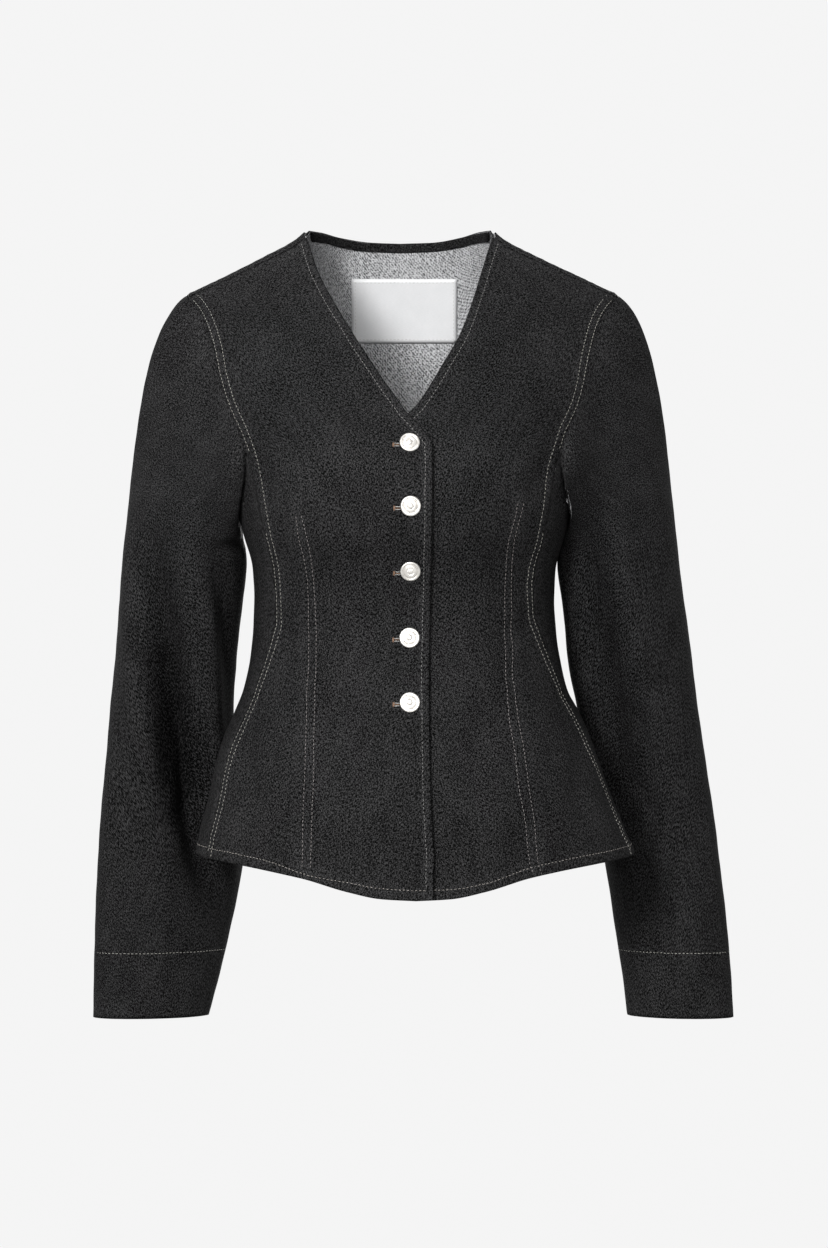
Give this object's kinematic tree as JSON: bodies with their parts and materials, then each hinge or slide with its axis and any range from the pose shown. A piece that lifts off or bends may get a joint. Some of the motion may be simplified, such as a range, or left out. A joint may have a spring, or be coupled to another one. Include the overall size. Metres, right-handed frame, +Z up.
{
  "type": "denim jacket",
  "caption": "Fitted hip-length denim jacket with a V neck, flared hem, long sleeves and a buttoned front, hollow as worn.",
  "frame": {"origin": "on the line between the wearer's shoulders, at the height of the garment's high shoulder point", "axes": "+Z up, -Y the way the front faces, +X towards the wearer's left"},
  "size_m": [0.5671, 0.2582, 0.6916],
  "materials": {
    "denim": "raw black denim twill, matte, with pale contrast stitching",
    "binding": "narrow folded denim strip, matte",
    "label_satin": "plain satin weave, soft sheen, blank",
    "button_metal": "pale worn silver with raised rings"
  },
  "bodies": {
    "root": {"front_right": "denim", "front_left": "denim", "side_right": "denim", "side_left": "denim", "back": "denim", "sleeve_right": "denim", "sleeve_left": "denim", "neck_binding": "binding", "label": "label_satin", "button_1": "button_metal", "button_2": "button_metal", "button_3": "button_metal", "button_4": "button_metal", "button_5": "button_metal"}
  },
  "joints": []
}
